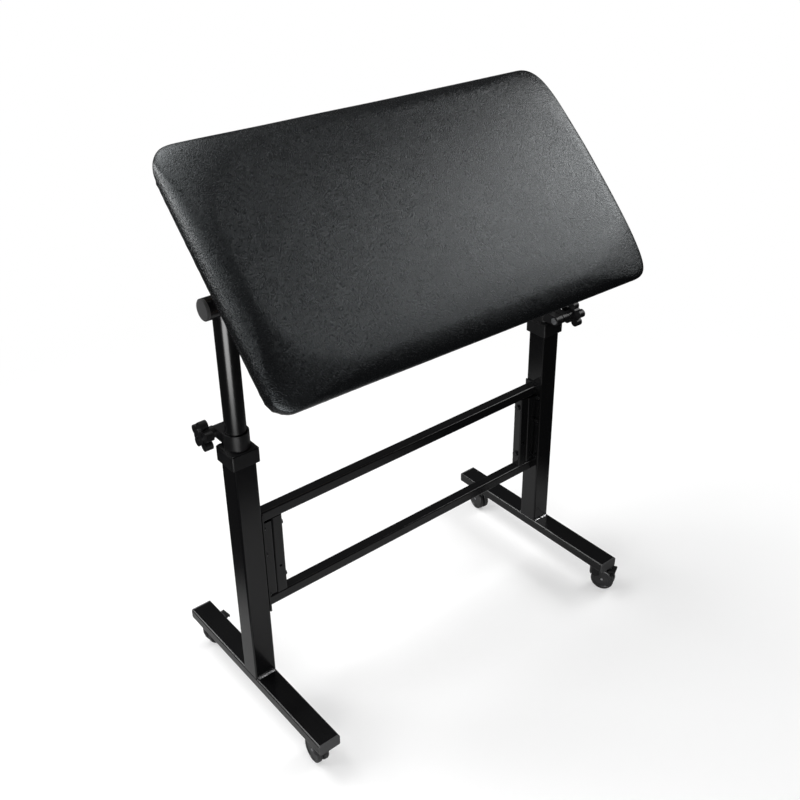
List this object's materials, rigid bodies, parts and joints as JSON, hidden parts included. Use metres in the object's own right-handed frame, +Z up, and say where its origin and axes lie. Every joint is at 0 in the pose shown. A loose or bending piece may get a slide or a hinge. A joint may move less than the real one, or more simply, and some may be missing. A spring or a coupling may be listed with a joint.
{
  "type": "tattoo arm rest stand",
  "caption": "Wide padded arm rest stand on casters: tilting black cushion, height-adjustable twin posts with clamp knobs, and a braced tube frame.",
  "frame": {"origin": "On the floor, midway between the two legs and midway between the ends of the feet.", "axes": "+Z is up. +X runs along the pad to the right, seen from its low front edge. -Y is the front, where the pad is lowest; +Y is the rear."},
  "size_m": [0.7706, 0.4276, 0.9932],
  "materials": {
    "satin_black": "black powder coat, satin",
    "gloss_black": "black paint, glossy",
    "black_plastic": "moulded black plastic, lightly grained",
    "cap_plastic": "dark grey moulded plastic",
    "wheel_plastic": "hard black nylon, worn to a soft gloss at the tread",
    "zinc_steel": "bright zinc plating",
    "black_screw": "blackened screws and bolt heads",
    "plywood": "raw birch plywood",
    "black_leather": "black synthetic leather, fine grain, soft sheen"
  },
  "bodies": {
    "stand": {"foot_tube_left": "satin_black", "foot_tube_right": "satin_black", "foot_end_caps": "cap_plastic", "post_left": "satin_black", "post_right": "satin_black", "post_cap_left": "black_plastic", "post_cap_right": "black_plastic", "clamp_collar_left": "black_plastic", "clamp_collar_right": "black_plastic", "clamp_bolts": "zinc_steel", "upper_rail": "satin_black", "lower_rail": "satin_black", "stile_left": "satin_black", "stile_right": "satin_black", "end_bracket_left": "satin_black", "end_bracket_right": "satin_black", "frame_bolts": "black_screw", "frame_nuts": "zinc_steel", "bracket_screws": "black_screw", "caster_stems": "zinc_steel", "caster_nuts": "zinc_steel"},
    "lift": {"height_tube_left": "gloss_black", "height_tube_right": "gloss_black", "tube_guides": "black_plastic", "pivot_sleeve_left": "gloss_black", "pivot_sleeve_right": "gloss_black", "sleeve_plugs": "cap_plastic", "plug_screws": "black_screw", "lock_boss": "gloss_black"},
    "pad": {"pivot_bar": "satin_black", "pad_bearer_left": "satin_black", "pad_bearer_right": "satin_black", "bearer_screws": "zinc_steel", "pad_board": "plywood", "pad_cushion": "black_leather"},
    "height_knob_left": {"clamp_knob_left": "black_plastic"},
    "height_knob_right": {"clamp_knob_right": "black_plastic"},
    "tilt_knob": {"lock_screw": "zinc_steel", "lock_knob": "black_plastic"},
    "swivel_front_left": {"caster_hood_front_left": "black_plastic"},
    "wheels_front_left": {"caster_axle_front_left": "zinc_steel", "caster_wheels_front_left": "wheel_plastic"},
    "brake_front_left": {"caster_brake_front_left": "black_plastic"},
    "swivel_front_right": {"caster_hood_front_right": "black_plastic"},
    "wheels_front_right": {"caster_axle_front_right": "zinc_steel", "caster_wheels_front_right": "wheel_plastic"},
    "brake_front_right": {"caster_brake_front_right": "black_plastic"},
    "swivel_back_left": {"caster_hood_back_left": "black_plastic"},
    "wheels_back_left": {"caster_axle_back_left": "zinc_steel", "caster_wheels_back_left": "wheel_plastic"},
    "brake_back_left": {"caster_brake_back_left": "black_plastic"},
    "swivel_back_right": {"caster_hood_back_right": "black_plastic"},
    "wheels_back_right": {"caster_axle_back_right": "zinc_steel", "caster_wheels_back_right": "wheel_plastic"},
    "brake_back_right": {"caster_brake_back_right": "black_plastic"}
  },
  "joints": [
    {"name": "height", "type": "slide", "parent": "stand", "child": "lift", "axis": [0, 0, 1], "range_m": [-0.165, 0.085]},
    {"name": "pad_tilt", "type": "hinge", "parent": "lift", "child": "pad", "pos_m": [0, 0, 0.778], "axis": [1, 0, 0], "range_deg": [-45, 15]},
    {"name": "height_knob_left_turn", "type": "hinge", "parent": "stand", "child": "height_knob_left", "pos_m": [-0.371, 0.04, 0.55], "axis": [-1, 0, 0], "range_deg": [-720, 720]},
    {"name": "height_knob_right_turn", "type": "hinge", "parent": "stand", "child": "height_knob_right", "pos_m": [0.371, -0.04, 0.55], "axis": [1, 0, 0], "range_deg": [-720, 720]},
    {"name": "tilt_knob_turn", "type": "hinge", "parent": "lift", "child": "tilt_knob", "pos_m": [0.341, 0.035, 0.778], "axis": [0, 1, 0], "range_deg": [-720, 720]},
    {"name": "swivel_front_left_turn", "type": "hinge", "parent": "stand", "child": "swivel_front_left", "pos_m": [-0.341, -0.18, 0.046], "axis": [0, 0, 1], "continuous": true},
    {"name": "wheels_front_left_roll", "type": "hinge", "parent": "swivel_front_left", "child": "wheels_front_left", "pos_m": [-0.33978, -0.16605, 0.023], "axis": [0.9962, -0.0872, 0], "continuous": true},
    {"name": "brake_front_left_press", "type": "hinge", "parent": "swivel_front_left", "child": "brake_front_left", "pos_m": [-0.3386, -0.1526, 0.04638], "axis": [-0.9962, 0.0872, 0], "range_deg": [-12, 14]},
    {"name": "swivel_front_right_turn", "type": "hinge", "parent": "stand", "child": "swivel_front_right", "pos_m": [0.341, -0.18, 0.046], "axis": [0, 0, 1], "continuous": true},
    {"name": "wheels_front_right_roll", "type": "hinge", "parent": "swivel_front_right", "child": "wheels_front_right", "pos_m": [0.34692, -0.19269, 0.023], "axis": [-0.9063, -0.4226, 0], "continuous": true},
    {"name": "brake_front_right_press", "type": "hinge", "parent": "swivel_front_right", "child": "brake_front_right", "pos_m": [0.35262, -0.20492, 0.04638], "axis": [0.9063, 0.4226, 0], "range_deg": [-12, 14]},
    {"name": "swivel_back_left_turn", "type": "hinge", "parent": "stand", "child": "swivel_back_left", "pos_m": [-0.341, 0.18, 0.046], "axis": [0, 0, 1], "continuous": true},
    {"name": "wheels_back_left_roll", "type": "hinge", "parent": "swivel_back_left", "child": "wheels_back_left", "pos_m": [-0.32708, 0.18146, 0.023], "axis": [0.1045, -0.9945, 0], "continuous": true},
    {"name": "brake_back_left_press", "type": "hinge", "parent": "swivel_back_left", "child": "brake_back_left", "pos_m": [-0.31365, 0.18288, 0.04638], "axis": [-0.1045, 0.9945, 0], "range_deg": [-12, 14]},
    {"name": "swivel_back_right_turn", "type": "hinge", "parent": "stand", "child": "swivel_back_right", "pos_m": [0.341, 0.18, 0.046], "axis": [0, 0, 1], "continuous": true},
    {"name": "wheels_back_right_roll", "type": "hinge", "parent": "swivel_back_right", "child": "wheels_back_right", "pos_m": [0.33881, 0.16617, 0.023], "axis": [-0.9877, 0.1564, 0], "continuous": true},
    {"name": "brake_back_right_press", "type": "hinge", "parent": "swivel_back_right", "child": "brake_back_right", "pos_m": [0.3367, 0.15284, 0.04638], "axis": [0.9877, -0.1564, 0], "range_deg": [-12, 14]}
  ]
}
